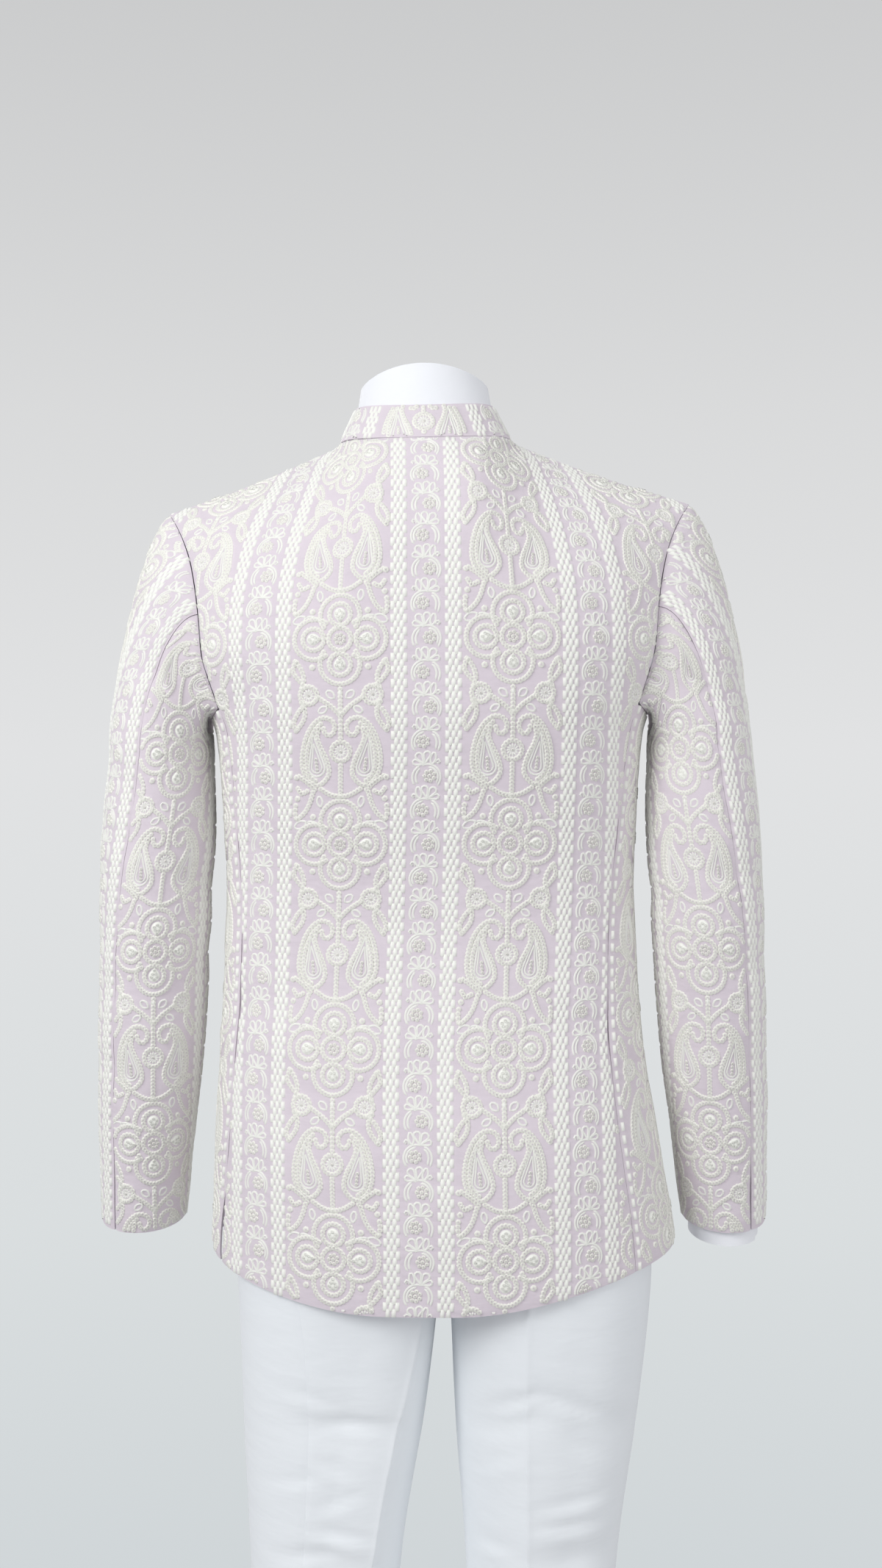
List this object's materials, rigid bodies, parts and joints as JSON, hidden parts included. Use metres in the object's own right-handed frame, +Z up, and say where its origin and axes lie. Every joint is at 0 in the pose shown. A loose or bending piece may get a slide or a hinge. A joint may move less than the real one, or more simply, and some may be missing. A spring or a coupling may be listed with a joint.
{
  "type": "indo-western outfit",
  "caption": "Embroidered closed-neck jacket with a stand collar, over a white shirt and straight white trousers, in hollow worn form with open neck, cuffs and hems.",
  "frame": {"origin": "centre of the jacket's neck, level with the collar seam at the centre back, where the wearer's neck and shoulders hold it up", "axes": "+Z up, the front faces -Y, the wearer's left is +X"},
  "size_m": [0.623, 0.2544, 1.5829],
  "materials": {
    "jacket_cloth": "pale lilac cloth closely worked with ivory thread",
    "shirt_cloth": "white cotton, matt",
    "trouser_cloth": "white suiting with pressed creases, matt",
    "button": "ivory, satin"
  },
  "bodies": {
    "root": {"jacket_back": "jacket_cloth", "jacket_front_left": "jacket_cloth", "jacket_side_left": "jacket_cloth", "sleeve_upper_left": "jacket_cloth", "sleeve_under_left": "jacket_cloth", "jacket_front_right": "jacket_cloth", "jacket_side_right": "jacket_cloth", "sleeve_upper_right": "jacket_cloth", "sleeve_under_right": "jacket_cloth", "jacket_collar": "jacket_cloth", "button_1": "button", "button_2": "button", "button_3": "button", "button_4": "button", "button_5": "button", "button_6": "button", "shirt_back": "shirt_cloth", "shirt_collar": "shirt_cloth", "shirt_front_left": "shirt_cloth", "shirt_sleeve_left": "shirt_cloth", "shirt_cuff_left": "shirt_cloth", "shirt_front_right": "shirt_cloth", "shirt_sleeve_right": "shirt_cloth", "shirt_cuff_right": "shirt_cloth", "trouser_waistband": "trouser_cloth", "trouser_back_left": "trouser_cloth", "trouser_front_left": "trouser_cloth", "trouser_back_right": "trouser_cloth", "trouser_front_right": "trouser_cloth"}
  },
  "joints": []
}
